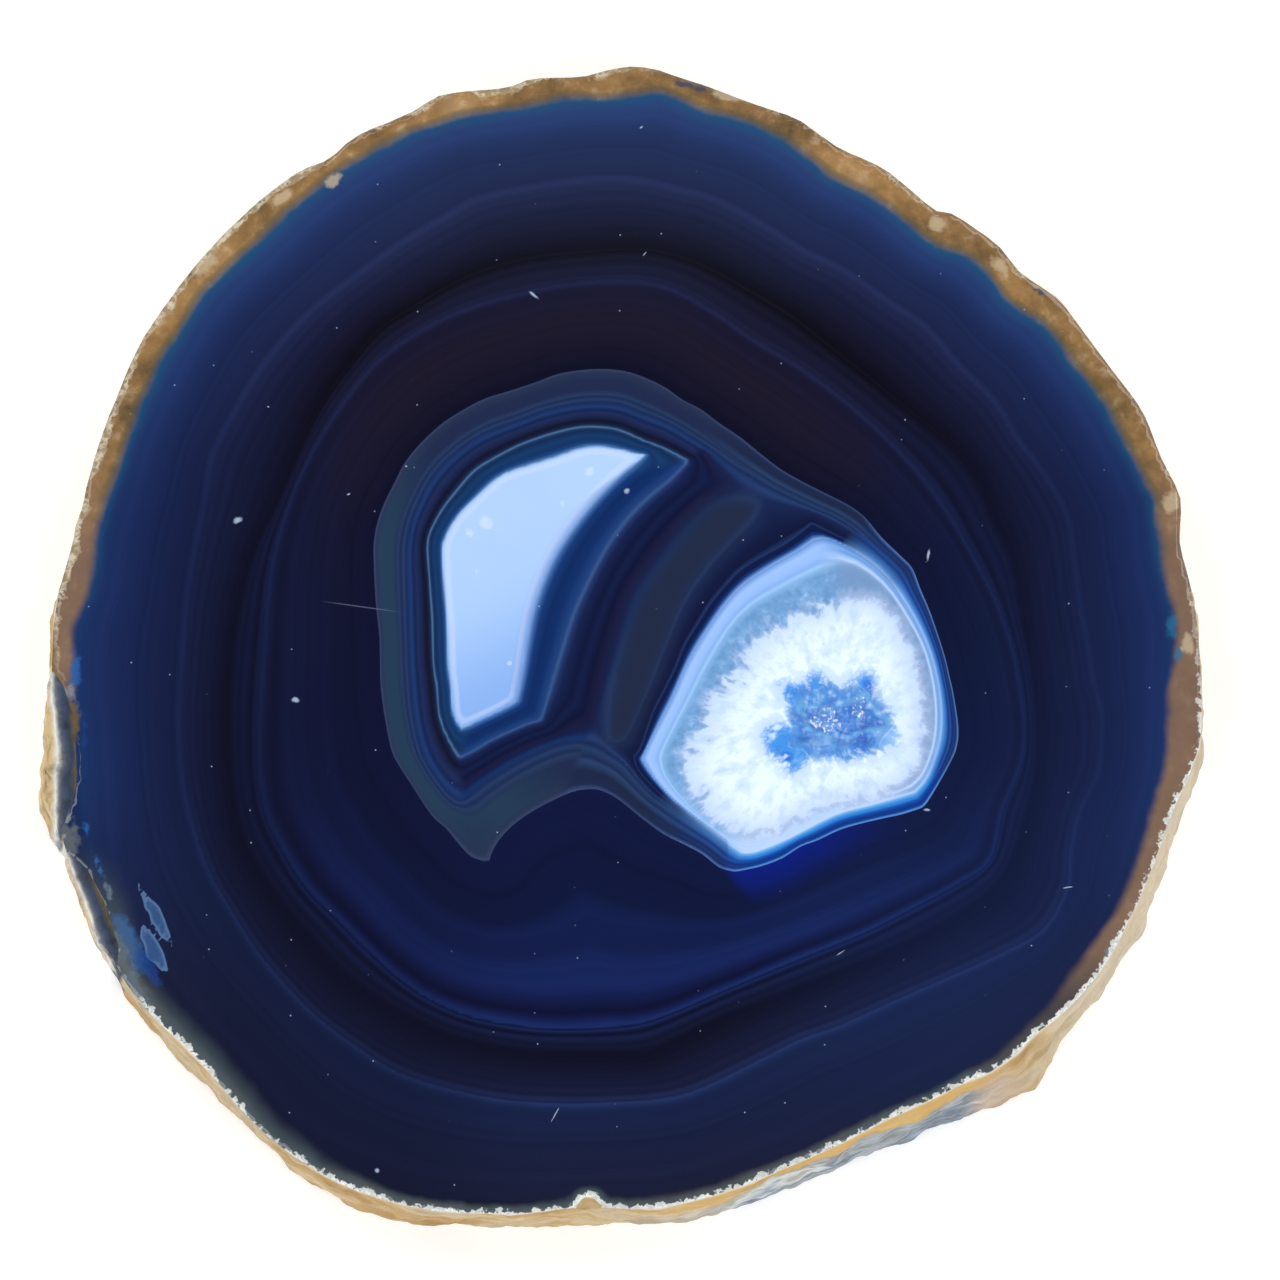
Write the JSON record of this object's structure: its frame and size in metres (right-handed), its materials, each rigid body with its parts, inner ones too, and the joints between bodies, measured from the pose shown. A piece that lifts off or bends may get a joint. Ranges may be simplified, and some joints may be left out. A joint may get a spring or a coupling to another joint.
{
  "type": "agate slice",
  "caption": "Round polished slice of blue-dyed banded agate with a rough natural rind and a small crystal-lined hollow in one face.",
  "frame": {"origin": "middle of the slice's bounding box, on the flat sawn back face that it lies on", "axes": "+Z out of the polished front face, +Y towards the top of the slice as it is displayed, +X to the right as the polished face is looked at"},
  "size_m": [0.1102, 0.111, 0.007],
  "materials": {
    "banded_agate": "polished",
    "blue_quartz": "glossy"
  },
  "bodies": {
    "root": {"agate_slice": "banded_agate", "hollow_crystals": "blue_quartz"}
  },
  "joints": []
}
